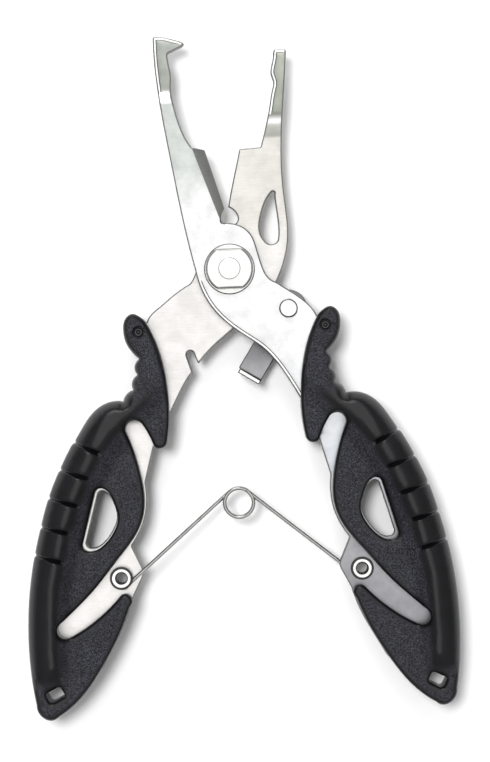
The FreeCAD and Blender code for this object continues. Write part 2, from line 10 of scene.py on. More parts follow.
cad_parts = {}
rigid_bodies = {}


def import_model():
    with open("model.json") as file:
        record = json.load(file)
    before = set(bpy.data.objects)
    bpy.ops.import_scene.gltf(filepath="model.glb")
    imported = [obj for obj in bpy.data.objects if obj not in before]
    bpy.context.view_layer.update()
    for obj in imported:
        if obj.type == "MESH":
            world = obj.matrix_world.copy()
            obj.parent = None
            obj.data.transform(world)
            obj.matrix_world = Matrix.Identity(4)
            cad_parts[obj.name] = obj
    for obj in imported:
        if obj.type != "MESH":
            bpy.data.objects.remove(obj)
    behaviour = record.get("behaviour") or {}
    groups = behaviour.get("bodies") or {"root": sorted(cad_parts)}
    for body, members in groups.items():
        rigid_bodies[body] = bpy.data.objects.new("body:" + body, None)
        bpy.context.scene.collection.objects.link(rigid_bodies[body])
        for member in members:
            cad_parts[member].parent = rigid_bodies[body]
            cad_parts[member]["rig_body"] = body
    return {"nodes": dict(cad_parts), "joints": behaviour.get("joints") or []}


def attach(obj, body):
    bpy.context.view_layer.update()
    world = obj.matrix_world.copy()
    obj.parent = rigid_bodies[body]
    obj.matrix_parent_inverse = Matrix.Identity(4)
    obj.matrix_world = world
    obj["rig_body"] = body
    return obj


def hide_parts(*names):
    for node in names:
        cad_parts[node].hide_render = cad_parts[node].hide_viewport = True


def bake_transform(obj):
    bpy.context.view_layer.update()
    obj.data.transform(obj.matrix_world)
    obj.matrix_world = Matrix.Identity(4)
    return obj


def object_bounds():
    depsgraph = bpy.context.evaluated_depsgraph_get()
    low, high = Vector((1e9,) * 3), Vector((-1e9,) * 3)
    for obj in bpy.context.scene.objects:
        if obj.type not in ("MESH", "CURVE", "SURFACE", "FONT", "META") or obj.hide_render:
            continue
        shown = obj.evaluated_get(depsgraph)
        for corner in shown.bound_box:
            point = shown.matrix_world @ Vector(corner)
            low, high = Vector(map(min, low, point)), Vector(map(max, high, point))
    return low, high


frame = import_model()
cad_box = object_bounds()

# Plan positions below are in millimetres from the pivot axis, and heights are from the plane where
# the two levers meet. Handles, eyelets and spring legs are built for the right side and flipped for
# the left.
MM = 0.001
RIGHT = 1
LEFT = -1
FRONT = 1
BACK = -1
SIDES = {RIGHT: "right", LEFT: "left"}
FACES = {FRONT: "front", BACK: "back"}

nodes = frame["nodes"]
scene = bpy.context.scene
joints = {joint["name"]: joint for joint in frame["joints"]}
PIVOT = Vector(joints["lever_pivot"]["pos_m"])


def row(x, y, z=0.0):
    """A point of the pivot's millimetres, in the row frame."""
    return PIVOT + Vector((x, y, z)) * MM


def in_pivot(point):
    """A place in the row frame, in the pivot's millimetres."""
    return (Vector(point) - PIVOT) / MM


# ---------------------------------------------------------------- materials

# A mesh attribute from 0, grain as moulded, to 1, smooth and glossy, with the colour darkened there as
# painted shade.
POLISH_AND_SHADE = "polish_and_shade"
RANGE_ENDS = ("From Min", "From Max", "To Min", "To Max")


class Nodes:
    """A material's node tree, with short calls for the nodes that repeat."""

    def __init__(self, name):
        self.material = bpy.data.materials.new(name)
        self.material.use_nodes = True
        self.tree = self.material.node_tree
        self.shader = self.tree.nodes["Principled BSDF"]
        self.object_space = self.tree.nodes.new("ShaderNodeTexCoord").outputs["Object"]

    def link(self, source, target):
        self.tree.links.new(source, target)

    def stretched(self, scale, angle=0.0):
        """Object coordinates, turned by an angle and scaled along each axis."""
        mapping = self.tree.nodes.new("ShaderNodeMapping")
        mapping.inputs["Rotation"].default_value = (0, 0, angle)
        mapping.inputs["Scale"].default_value = scale
        self.link(self.object_space, mapping.inputs["Vector"])
        return mapping.outputs["Vector"]

    def noise(self, vector, scale, detail, roughness):
        noise = self.tree.nodes.new("ShaderNodeTexNoise")
        noise.inputs["Scale"].default_value = scale
        noise.inputs["Detail"].default_value = detail
        noise.inputs["Roughness"].default_value = roughness
        self.link(vector, noise.inputs["Vector"])
        return noise.outputs["Fac"]

    def ramp(self, value, stops):
        """A colour or grey for each place along a value, from (place, colour) pairs."""
        ramp = self.tree.nodes.new("ShaderNodeValToRGB")
        elements = ramp.color_ramp.elements
        while len(elements) < len(stops):
            elements.new(0.5)
        for element, (place, colour) in zip(elements, stops):
            element.position = place
            element.color = (*colour, 1.0)
        self.link(value, ramp.inputs["Fac"])
        return ramp.outputs["Color"]

    def along(self, axis, low, high):
        """How far a place is from low to high along an axis of the row frame, in metres, as 0 to 1."""
        split = self.tree.nodes.new("ShaderNodeSeparateXYZ")
        self.link(self.object_space, split.inputs["Vector"])
        return self.spread(split.outputs[axis], low, high, 0.0, 1.0)

    def spread(self, value, low, high, new_low, new_high):
        ranged = self.tree.nodes.new("ShaderNodeMapRange")
        for name, number in zip(RANGE_ENDS, (low, high, new_low, new_high)):
            ranged.inputs[name].default_value = number
        self.link(value, ranged.inputs["Value"])
        return ranged.outputs["Result"]

    def mixed(self, kind, factor, first, second):
        mix = self.tree.nodes.new("ShaderNodeMix")
        mix.data_type = "RGBA"
        mix.blend_type = kind
        mix.inputs["Factor"].default_value = factor
        self.link(first, mix.inputs["A"])
        self.link(second, mix.inputs["B"])
        return mix.outputs["Result"]

    def bump(self, height, distance, strength, under=None):
        bump = self.tree.nodes.new("ShaderNodeBump")
        bump.inputs["Distance"].default_value = distance
        bump.inputs["Strength"].default_value = strength
        self.link(height, bump.inputs["Height"])
        if under is not None:
            self.link(under, bump.inputs["Normal"])
        return bump.outputs["Normal"]


def grey(level):
    return (level, level, level)


def scaled(colour, share):
    return tuple(c * share for c in colour)


def steel(name, zones, brush_angle, rough, brushing=0.12, mottle=0.06):
    """Stamped stainless sheet. Zones are (mm ahead of the pivot axis, colour) pairs.

    Brushing and mottle say how much the brush lines and the cloudy patches darken it.
    """
    m = Nodes(name)
    m.shader.inputs["Metallic"].default_value = 1.0
    lines = m.noise(m.stretched((1.0, 22.0, 1.0), brush_angle), 420.0, 4.0, 0.6)
    cloud = m.noise(m.object_space, 260.0, 5.0, 0.6)
    speck = m.noise(m.object_space, 1900.0, 3.0, 0.6)
    low, high = cad_box[0][1], cad_box[1][1]
    places = [((row(0, y).y - low) / (high - low), colour) for y, colour in zones]
    tone = m.ramp(m.along("Y", low, high), places)
    streaks = m.ramp(lines, [(0.3, grey(1.0 - brushing)), (0.7, grey(1.0))])
    patches = m.ramp(cloud, [(0.35, grey(1.0 - mottle)), (0.62, grey(1.0))])
    colour = m.mixed("MULTIPLY", 1.0, m.mixed("MULTIPLY", 1.0, tone, streaks), patches)
    m.link(colour, m.shader.inputs["Base Color"])
    m.link(m.spread(lines, 0.3, 0.7, rough - 0.05, rough + 0.08), m.shader.inputs["Roughness"])
    fine = m.bump(lines, 0.00002, 0.30)
    m.link(m.bump(speck, 0.00002, 0.15, fine), m.shader.inputs["Normal"])
    return m.material


def plain_steel(name, colour, rough):
    """Turned, drawn or shear-cut steel, with fine marks all over."""
    m = Nodes(name)
    m.shader.inputs["Metallic"].default_value = 1.0
    marks = m.noise(m.object_space, 2600.0, 3.0, 0.6)
    cloud = m.noise(m.object_space, 500.0, 3.0, 0.5)
    tone = m.ramp(cloud, [(0.35, scaled(colour, 0.82)), (0.65, colour)])
    m.link(tone, m.shader.inputs["Base Color"])
    m.link(m.spread(marks, 0.3, 0.7, rough - 0.05, rough + 0.07), m.shader.inputs["Roughness"])
    m.link(m.bump(marks, 0.00001, 0.25), m.shader.inputs["Normal"])
    return m.material


def moulded(name, colour, rough, polished_rough):
    """Moulded ABS: spark-eroded grain, glossier and darker where a piece's polish is 1; the darkening is
    painted shade.
    """
    m = Nodes(name)
    attribute = m.tree.nodes.new("ShaderNodeAttribute")
    attribute.attribute_name = POLISH_AND_SHADE
    polish_and_shade = attribute.outputs["Fac"]
    pits = m.noise(m.object_space, 4100.0, 2.0, 0.6)
    flow = m.noise(m.object_space, 260.0, 4.0, 0.55)
    cloudy = m.ramp(flow, [(0.35, colour), (0.68, scaled(colour, 1.5))])
    speckle = m.ramp(pits, [(0.42, grey(0.1)), (0.66, grey(4.0))])
    # Painted shade: where the polish attribute is 1 the colour drops to a fifth to a half.
    gloss_shade_tone = m.ramp(flow, [(0.35, scaled(colour, 0.2)), (0.68, scaled(colour, 0.5))])
    tone = m.mixed("MIX", 0.5, m.mixed("MULTIPLY", 1.0, cloudy, speckle), gloss_shade_tone)
    m.link(polish_and_shade, tone.node.inputs["Factor"])
    m.link(tone, m.shader.inputs["Base Color"])
    m.link(m.spread(polish_and_shade, 0.0, 1.0, rough, polished_rough), m.shader.inputs["Roughness"])
    m.link(m.spread(polish_and_shade, 0.0, 1.0, 0.38, 0.40), m.shader.inputs["Specular IOR Level"])
    grain = m.bump(pits, 0.00020, 0.5)
    m.link(m.spread(polish_and_shade, 0.0, 1.0, 1.0, 0.15), grain.node.inputs["Strength"])
    m.link(m.bump(flow, 0.00012, 0.25, grain), m.shader.inputs["Normal"])
    return m.material


NEAR_WHITE = (0.86, 0.86, 0.86)
COOL = (0.59, 0.62, 0.60)
CREAM = (0.82, 0.80, 0.78)
DULL_CREAM = (0.73, 0.71, 0.665)
# The grey-green is painted shade for the jaws' tapered tips, the bright colour below it a painted
# highlight across the levers' jaw folds, and the dark band painted shade on the rear lever's fold.
GREEN_GREY = (0.38, 0.40, 0.345)
FOLD_HIGHLIGHT = (0.92, 0.92, 0.90)
FOLD_SHADE = (0.22, 0.225, 0.20)

# Painted light and shade along the front lever: its neck and tang are painted darker grey towards the
# tail as shade, the band from 31 to 32.8 mm at the jaw fold is a painted highlight, and the darker
# grey-green beyond it is painted shade for the tips' ground taper.
front_face = steel("front_plate_satin", [
    (-80.0, (0.30, 0.30, 0.315)), (-50.0, (0.36, 0.36, 0.375)), (-36.0, (0.60, 0.62, 0.65)),
    (-24.0, (0.76, 0.77, 0.79)), (-15.0, NEAR_WHITE), (11.0, NEAR_WHITE), (14.0, (0.78, 0.79, 0.78)),
    (20.0, COOL), (30.7, COOL), (31.0, FOLD_HIGHLIGHT), (32.8, FOLD_HIGHLIGHT), (33.3, (0.38, 0.40, 0.36)),
    (43.0, (0.43, 0.45, 0.42)),
], math.radians(18), 0.34, brushing=0.10, mottle=0.20)
# Painted light and shade along the rear lever: across its jaw fold, from 24.2 to 28.6 mm, a grey band, a
# painted highlight and a dark band are painted as the fold's shade and highlight, and the grey-green
# beyond is painted shade for the tips' ground taper.
rear_face = steel("rear_plate_brushed", [
    (-80.0, CREAM), (2.0, CREAM), (9.0, DULL_CREAM), (24.0, DULL_CREAM), (24.2, (0.44, 0.44, 0.40)),
    (26.2, (0.54, 0.54, 0.50)), (26.5, FOLD_HIGHLIGHT), (27.5, FOLD_HIGHLIGHT), (27.8, FOLD_SHADE),
    (28.6, (0.31, 0.32, 0.28)), (30.0, GREEN_GREY), (40.0, (0.46, 0.48, 0.42)),
], math.radians(-4), 0.36, brushing=0.15, mottle=0.14)
# The latch's whole grey is painted shadow of the front lever lying over it, darkest just below the
# lever's edge, about 14 mm behind the pivot axis.
shaded_latch_face = steel("latch_plate_painted_shadow", [
    (-30.0, (0.46, 0.46, 0.48)), (-19.0, (0.40, 0.40, 0.415)), (-14.0, (0.19, 0.19, 0.20)),
    (40.0, (0.50, 0.51, 0.52)),
], math.radians(50), 0.34, mottle=0.18)
# Dark steel for the levers' sheared sides, and for the broken edges, grooves and bevels, where the
# darkness is painted shade drawing a thin dark outline.
sheared_shaded_edge = plain_steel("sheared_edge_painted_shade", (0.20, 0.20, 0.195), 0.34)
# Darker steel on the nut's and screw's chamfers, painted shade for the dark ring round them.
shaded_chamfer = plain_steel("shaded_chamfer", (0.42, 0.42, 0.41), 0.30)
# Bright steel for the strip along the jaws' outer edges, and for the latch lip's top, where it is
# painted light.
bright_rim_and_lit_lip = plain_steel("bright_rim_and_lit_lip", (0.93, 0.94, 0.91), 0.22)
ground_steel = steel("ground_bevel", [(y, (0.41, 0.41, 0.395)) for y in (-80.0, 40.0)],
                     math.radians(18), 0.42, brushing=0.25)
turned_steel = plain_steel("turned_hardware", (0.84, 0.84, 0.82), 0.24)
drawn_wire = plain_steel("drawn_wire", (0.42, 0.42, 0.41), 0.14)
black_abs = moulded("black_abs", (0.010, 0.010, 0.0135), 0.50, 0.27)
pin_abs = moulded("pin_abs", (0.10, 0.10, 0.11), 0.45, 0.24)
# Near-black steel, painted shade for the dark rings on the eyelets.
shaded_eyelet_edge = plain_steel("eyelet_edge_painted_shade", (0.06, 0.06, 0.058), 0.40)


# ---------------------------------------------------------------- outlines and slabs

def loops_at(node, height):
    """The closed outlines of a CAD node at a height above the mid-plane, in the pivot's millimetres."""
    cut = bmesh.new()
    cut.from_mesh(nodes[node].data)
    bmesh.ops.remove_doubles(cut, verts=cut.verts, dist=0.002 * MM)
    result = bmesh.ops.bisect_plane(cut, geom=cut.verts[:] + cut.edges[:] + cut.faces[:],
                                    plane_co=row(0, 0, height), plane_no=(0, 0, 1), clear_outer=True)
    neighbours = {}
    for edge in result["geom_cut"]:
        if isinstance(edge, bmesh.types.BMEdge):
            a, b = edge.verts
            neighbours.setdefault(a, []).append(b)
            neighbours.setdefault(b, []).append(a)
    loops = []
    left = dict.fromkeys(neighbours)
    while left:
        here = next(iter(left))
        loop = []
        while here is not None:
            del left[here]
            loop.append(tuple(in_pivot(here.co))[:2])
            here = next((v for v in neighbours[here] if v in left), None)
        loops.append(np.array(loop))
    cut.free()
    return sorted(loops, key=lambda p: -np.ptp(p[:, 1]))


def resampled(loop, spacing):
    """Evenly spaced points round a closed loop, going anticlockwise."""
    closed = np.vstack([loop, loop[:1]])
    x, y = closed[:, 0], closed[:, 1]
    if np.sum(x[:-1] * y[1:] - x[1:] * y[:-1]) < 0:
        closed = closed[::-1]
    steps = np.hypot(*np.diff(closed, axis=0).T)
    run = np.concatenate([[0], np.cumsum(steps)])
    count = max(16, int(round(run[-1] / spacing)))
    at = np.linspace(0, run[-1], count, endpoint=False)
    return np.column_stack([np.interp(at, run, closed[:, k]) for k in (0, 1)])


def rims(loops, spacing):
    """Loops resampled so that the material is always on the left of the way round."""
    outer, *holes = (resampled(loop, spacing) for loop in loops)
    return [outer] + [hole[::-1] for hole in holes]


def inward(loop):
    """Unit normals of a loop's points, to the left of the way round."""
    ahead = np.roll(loop, -1, axis=0) - np.roll(loop, 1, axis=0)
    ahead /= np.maximum(np.hypot(*ahead.T), 1e-9)[:, None]
    return np.column_stack([-ahead[:, 1], ahead[:, 0]])


def both_ends(loops):
    """Where each segment of some loops starts and ends."""
    return np.vstack(loops), np.vstack([np.roll(loop, -1, axis=0) for loop in loops])


def to_segments(points, starts, ends):
    """Each point's distance from the nearest segment, that segment's index, and how far along it."""
    found = []
    run = ends - starts
    length2 = np.maximum((run**2).sum(1), 1e-12)
    for part in np.array_split(points, len(points) // 2000 + 1):
        t = np.clip(((part[:, None] - starts) * run).sum(2) / length2, 0, 1)
        gap = np.hypot(*(part[:, None] - starts - t[..., None] * run).transpose(2, 0, 1))
        nearest = gap.argmin(1)
        rows = np.arange(len(part))
        found.append((gap[rows, nearest], nearest, t[rows, nearest]))
    return [np.concatenate(column) for column in zip(*found)]


def inside_of(points, loops):
    """Whether each point is inside the first loop and outside the others."""
    inside = np.zeros(len(points), bool)
    y = points[:, None, 1]
    for loop in loops:
        a, b = loop, np.roll(loop, -1, axis=0)
        crosses = (a[:, 1] > y) != (b[:, 1] > y)
        rise = np.where(b[:, 1] == a[:, 1], 1e-12, b[:, 1] - a[:, 1])
        at = a[:, 0] + (y - a[:, 1]) * (b[:, 0] - a[:, 0]) / rise
        inside ^= (crosses & (points[:, None, 0] < at)).sum(1) % 2 == 1
    return inside


def smooth(t):
    t = np.clip(t, 0, 1)
    return t * t * (3 - 2 * t)


def quarter_round(distance, radius, fullness=2.0):
    """0 at an edge, rising round a quarter circle, or a flatter arch, to 1 at a radius in from it."""
    t = 1 - np.clip(distance / radius, 0, 1)
    return (1 - t**fullness) ** (1 / fullness)


def beside(start, end, offsets, spacing):
    """Rows of points beside the line from start to end, at each offset to its left."""
    start, end = np.array(start), np.array(end)
    run = end - start
    length = np.hypot(*run)
    left = np.array([-run[1], run[0]]) / length
    share = np.arange(0, 1 + 1e-6, spacing / length)[:, None]
    return np.vstack([start + share * run + offset * left for offset in offsets])


def scatter(loops, rows, extra, step):
    """Points over a face: its loops, rows just inside them, extra lines of points, and a grid."""
    starts, ends = both_ends(loops)
    points = [tuple(p) for p in starts]

    def add(candidates, clear):
        gap = to_segments(candidates, starts, ends)[0]
        candidates = candidates[inside_of(candidates, loops) & (gap >= 0.98 * clear)]
        cells = {}
        for p in points:
            cells.setdefault((int(p[0] // clear), int(p[1] // clear)), []).append(p)
        for x, y in candidates:
            i, j = int(x // clear), int(y // clear)
            near = [q for a in (-1, 0, 1) for b in (-1, 0, 1) for q in cells.get((i + a, j + b), ())]
            if all((x - q[0]) ** 2 + (y - q[1]) ** 2 > clear * clear for q in near):
                points.append((x, y))
                cells.setdefault((i, j), []).append((x, y))

    for offset in rows:
        for loop in loops:
            add(loop + inward(loop) * offset, 0.9 * offset if offset < 0.2 else 0.12 + 0.2 * offset)
    for line, clear in extra:
        add(line, clear)
    low, high = loops[0].min(0), loops[0].max(0)
    lines = enumerate(np.arange(low[1], high[1], step * 0.866))
    grid = [(x + 0.5 * step * (j % 2), y) for j, y in lines for x in np.arange(low[0], high[0], step)]
    add(np.array(grid), 0.65 * step)
    return np.array(points)


def slab(loops, points, top, bottom):
    """Vertices and faces of a closed slab. Faces come as the top's, the bottom's and the sides'."""
    edges = []
    first = 0
    for loop in loops:
        edges += [(first + i, first + (i + 1) % len(loop)) for i in range(len(loop))]
        first += len(loop)
    flat = [Vector(p) for p in points]
    faces = delaunay_2d_cdt(flat, edges, [], 2, 1e-7)[2]
    keep = inside_of(np.array([points[list(f)].mean(0) for f in faces]), loops)
    faces = [tuple(f) for f, kept in zip(faces, keep) if kept]
    under = len(points)
    verts = [(x, y, z) for heights in (top, bottom) for (x, y), z in zip(points, heights)]
    backs = [tuple(under + i for i in reversed(f)) for f in faces]
    sides = [(b, a, under + a, under + b) for a, b in edges]
    return verts, faces, backs, sides


def new_piece(name, verts, groups, materials, body, replaced,
              flips=(1, 1), sharp=35.0, polish_and_shade=None):
    """A mesh piece from the pivot's millimetres, mirrored in x or z where flips say so.

    Each group of faces takes the material of the same place in materials.
    """
    mesh = bpy.data.meshes.new(name)
    across, up = flips
    placed = [row(across * x, y, up * z) for x, y, z in verts]
    mesh.from_pydata(placed, [], [face for group in groups for face in group])
    if across * up < 0:
        mesh.flip_normals()
    for material in materials:
        mesh.materials.append(material)
    indices = [i for i, group in enumerate(groups) for _ in group]
    mesh.polygons.foreach_set("material_index", indices)
    mesh.polygons.foreach_set("use_smooth", [True] * len(indices))
    mesh.set_sharp_from_angle(angle=math.radians(sharp))
    if polish_and_shade is not None:
        mesh.attributes.new(POLISH_AND_SHADE, "FLOAT", "POINT").data.foreach_set("value", polish_and_shade)
    obj = bpy.data.objects.new(name, mesh)
    scene.collection.objects.link(obj)
    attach(obj, body)
    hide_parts(*replaced)
    return obj


# ---------------------------------------------------------------- levers

HALF_SHEET = 0.9
SHEET_OFFSET = 0.925
TANG_FOLD = (-27.5, -22.0)
BEVEL_SLOPE = math.tan(math.radians(30))
BEVEL_LENGTH = 15.0
BEVEL_WIDTH = 4.0
BROKEN_EDGE = 0.24
# The jaws' outer edges take a brighter steel in a strip this wide and this deep, with a groove inside
# it.
RIM = 0.62
RIM_DEPTH = 0.06
# Which material a face of the sheet takes.
SHEET, DARK_EDGE, GROUND, BRIGHT_RIM = range(4)


def fold(y, low, high, bend=0.35):
    """0 before a fold and 1 after it, straight between with rounded ends."""
    shifts = np.linspace(-bend, bend, 7)
    return sum(np.clip((y + shift - low) / (high - low), 0, 1) for shift in shifts) / len(shifts)


def make_lever(node, side, face, jaw_fold, bevel, body):
    """A stamped lever, offset from the mid-plane between its folds, with its cutting edge ground.

    The side is 1 for the lever in front of the mid-plane, and -1 for the one behind it, which is built
    upside down and turned over.
    """
    loops = rims(loops_at(node, 0.1 * side), 0.22)
    (x0, y0), (x1, y1) = ((side * x, y) for x, y in bevel)
    cutting = side * np.array([y0 - y1, x1 - x0]) / math.hypot(x1 - x0, y1 - y0)
    bevel_line = beside((x0, y0), (x1, y1), (-0.02, 0.02), 0.2)
    folds = [np.array([(x, y) for x in np.arange(-40, 40, 0.5)])
             for low, high in (jaw_fold, TANG_FOLD) for y in np.arange(low - 0.4, high + 0.5, 0.2)]
    extra = [(bevel_line, 0.035)] + [(row_of_points, 0.15) for row_of_points in folds]
    outer = loops[0]
    normals = inward(outer)
    rimmed = ((normals[:, 0] > 0.3) | (normals[:, 1] < -0.5)) & (outer[:, 1] > jaw_fold[1])
    # The front lever's neck has the same bright strip, up one edge.
    if side > 0:
        rimmed |= (normals[:, 0] > 0.3) & (normals[:, 1] > 0) & (np.abs(outer[:, 1] + 16.5) < 14.5)
    extra += [(outer[rimmed] + normals[rimmed] * offset, 0.06) for offset in (RIM - 0.1, RIM, RIM + 0.1)]
    points = scatter(loops, (0.07, BROKEN_EDGE, 0.45), extra, 1.2)

    x, y = points.T
    raised = fold(y, *TANG_FOLD) - fold(y, *jaw_fold)
    middle = SHEET_OFFSET * raised
    gap, which, _ = to_segments(points, *both_ends(loops))
    in_rim = np.where(which < len(outer), rimmed[which % len(outer)], False)
    half = HALF_SHEET - BROKEN_EDGE * (1 - quarter_round(gap, BROKEN_EDGE))
    groove = np.exp(-(((gap - RIM) / 0.08) ** 2))
    half = half - in_rim * RIM_DEPTH * (smooth((RIM - gap) / 0.4) + groove)
    beyond = (points - (x0, y0)) @ cutting
    along = (points - (x0, y0)) @ (x1 - x0, y1 - y0) / BEVEL_LENGTH
    near_edge = (along > -0.6) & (along < BEVEL_LENGTH) & (beyond < BEVEL_WIDTH)
    ground_face = SHEET_OFFSET + HALF_SHEET - BEVEL_SLOPE * beyond
    top = np.where(near_edge, np.minimum(middle + half, ground_face), middle + half)
    bottom = middle - half
    verts, tops, backs, sides = slab(loops, points, top, bottom)

    centres = np.array([points[list(f)].mean(0) for f in tops])
    gap, which, _ = to_segments(centres, *both_ends(loops))
    by_rim = (which < len(outer)) & rimmed[which % len(outer)] & (gap < RIM + 0.1)
    zones = np.where(by_rim, BRIGHT_RIM, SHEET)
    # The groove inside the bright strip and the broken edge all round are painted dark, as shade along
    # the crease and the rounded edge.
    zones[by_rim & (gap > RIM - 0.1) | (gap < BROKEN_EDGE - 0.02)] = DARK_EDGE
    ground = [all(beyond[i] > -0.03 and near_edge[i] for i in f) for f in tops]
    groups = [[], list(sides), [], []]
    for f, zone, is_ground in zip(tops, zones, ground):
        groups[GROUND if is_ground else zone].append(f)
    for f, zone in zip(backs, zones):
        groups[zone].append(f)
    if side < 0:
        verts = [(x, y, -z) for x, y, z in verts]
        groups = [[tuple(reversed(f)) for f in group] for group in groups]
    materials = [face, sheared_shaded_edge, ground_steel, bright_rim_and_lit_lip]
    return new_piece(node + "_sheet", verts, groups, materials, body, [node])


make_lever("front_lever", 1, front_face, (31.0, 33.0), [(-6.1, 22.7), (-1.3, 8.9)],
           "front_lever_side")
make_lever("rear_lever", -1, rear_face, (24.2, 28.5), [(-4.9, 22.6), (-2.1, 11.0)],
           "rear_lever_side")


# ---------------------------------------------------------------- small metal pieces

# The latch's lip is what stands above this height. Its top is painted bright, painted light where the
# lip rises out of the shadow painted on the latch.
LATCH_LIP = 0.2
NUT_THREAD = 2.2


def refined(node, material, width, edge_material, kept_radius=0.0):
    """A CAD node's shape as a clean mesh with its edges broken.

    Edges nearer the pivot axis than the kept radius stay sharp.
    """
    shape = bmesh.new()
    shape.from_mesh(nodes[node].data)
    bmesh.ops.remove_doubles(shape, verts=shape.verts, dist=0.004 * MM)
    bmesh.ops.dissolve_limit(shape, angle_limit=math.radians(0.6), verts=shape.verts, edges=shape.edges)
    edges = [
        e for e in shape.edges
        if len(e.link_faces) == 2 and e.calc_face_angle(0) > math.radians(35)
        and in_pivot(e.verts[0].co).xy.length >= kept_radius
    ]
    bmesh.ops.bevel(shape, geom=edges, offset=width * MM, segments=3, profile=0.5, affect="EDGES",
                    clamp_overlap=False, material=1)
    verts = [tuple(in_pivot(v.co)) for v in shape.verts]
    shape.verts.index_update()
    groups = [[], [], []]
    for f in shape.faces:
        on_lip = node == "latch" and in_pivot(f.calc_center_median()).z > LATCH_LIP
        group = 2 if on_lip and f.material_index == 0 else f.material_index
        groups[group].append(tuple(v.index for v in f.verts))
    shape.free()
    body = nodes[node]["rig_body"]
    materials = [material, edge_material, bright_rim_and_lit_lip]
    piece = new_piece(node + "_finished", verts, groups, materials, body, [node])
    piece.modifiers.new("even_shading", "WEIGHTED_NORMAL").keep_sharp = True
    return piece


# The bevels take darker edge steel, painted shade for the thin dark outlines round these pieces.
refined("latch", shaded_latch_face, 0.22, sheared_shaded_edge)
refined("pivot_nut", turned_steel, 0.42, shaded_chamfer, NUT_THREAD)
refined("pivot_screw", turned_steel, 0.14, shaded_chamfer)
refined("latch_rivet", turned_steel, 0.26, sheared_shaded_edge)
for node in ("pivot_front_washer", "pivot_rear_washer", "latch_spacer"):
    refined(node, turned_steel, 0.2, sheared_shaded_edge)


def lathe(name, profile, centre, materials, node, flips, band=(0.0, math.inf), around=48):
    """A turned piece in place of a node: a closed profile of (radius, height) pairs, spun upright.

    Faces wholly inside or outside the band of radii take the second material.
    """
    x, y = centre
    turns = [2 * math.pi * k / around for k in range(around)]
    verts = [(x + r * math.cos(a), y + r * math.sin(a), z) for a in turns for r, z in profile]
    count = len(profile)
    groups = [[], []]
    for k in range(around):
        for i in range(count):
            j = (i + 1) % count
            a, b = k * count, (k + 1) % around * count
            radii = profile[i][0], profile[j][0]
            outside = min(radii) > band[1] or max(radii) < band[0]
            groups[outside].append((a + i, b + i, b + j, a + j))
    return new_piece(name, verts, groups, materials, nodes[node]["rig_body"], [node], flips,
                     polish_and_shade=[1.0] * len(verts))


def rolled(inner, outer, low, high, steps=5):
    """The section of an eyelet's rim, from the bore over to a step and its outer edge."""
    radius = (high - low) / 2
    middle = (high + low) / 2
    rim = [(inner, middle)]
    for k in range(steps + 1):
        angle = math.pi * (1 - k / steps * 0.5)
        across = 2 * radius * (1 + math.cos(angle))
        rim.append((inner + across, middle + radius * math.sin(angle)))
    step = high - 0.14
    rim += [(outer - 0.44, high), (outer - 0.38, step)]
    radius = (step - low) / 2
    for k in range(steps + 1):
        angle = math.pi / 2 - math.pi * k / steps
        rim.append((outer - radius + radius * math.cos(angle), low + radius + radius * math.sin(angle)))
    return rim


EYELET = (22.1, -55.8)
EYELET_RADII = (1.0, 2.12)
EYELET_BARREL = 1.18
# Outside this band of radii the eyelets take near-black steel, painted shade for the dark rings at the
# rolled edge and round the bore.
BRIGHT_BAND = (1.19, 1.66)
GUARD_PIN = (17.1, -10.9)
# From the middle out: a dot, a groove, a raised ring and a deep channel.
HALF_PIN = [
    (0.001, 2.88), (0.16, 2.87), (0.21, 2.80), (0.30, 2.45), (0.39, 2.80), (0.44, 2.86),
    (0.62, 2.86), (0.68, 2.78), (0.86, 2.00), (0.92, 2.00), (1.06, 2.70), (1.09, 2.72),
]

front_rim = rolled(*EYELET_RADII, 0.9, 1.35)
back_rim = [(r, -z) for r, z in rolled(*EYELET_RADII, 1.7, 2.1)]
crimp = front_rim + [(EYELET_BARREL, 0.9), (EYELET_BARREL, -1.7)] + back_rim[::-1]
pin = HALF_PIN + [(r, -z) for r, z in HALF_PIN[::-1]]

for side in (RIGHT, LEFT):
    eyelet = f"{SIDES[side]}_eyelet"
    guard_pin = f"{SIDES[side]}_guard_pin"
    lathe(eyelet + "_crimp", crimp, EYELET, [turned_steel, shaded_eyelet_edge], eyelet,
          (side, side), BRIGHT_BAND)
    lathe(guard_pin + "_turned", pin, GUARD_PIN, [pin_abs], guard_pin, (side, 1))
    refined(f"{SIDES[side]}_tail_pin", pin_abs, 0.1, pin_abs)


# ---------------------------------------------------------------- spring

WIRE = 0.35
COIL = (0.0, -42.9)
COIL_RADIUS = 2.65
COIL_RISE = 1.16
COIL_STEPS = 160
LOOP_Z = -1.30
LOOP_RADIUS = 1.70
LOOP_SWEEP = 300
LOOP_STEPS = 39
LEG_FLAT = 6.0
# Steps along a wire's rounded end, and how thick it is at each, as shares of its radius.
WIRE_END = ((1.0, 0.05), (0.87, 0.5), (0.5, 0.87))


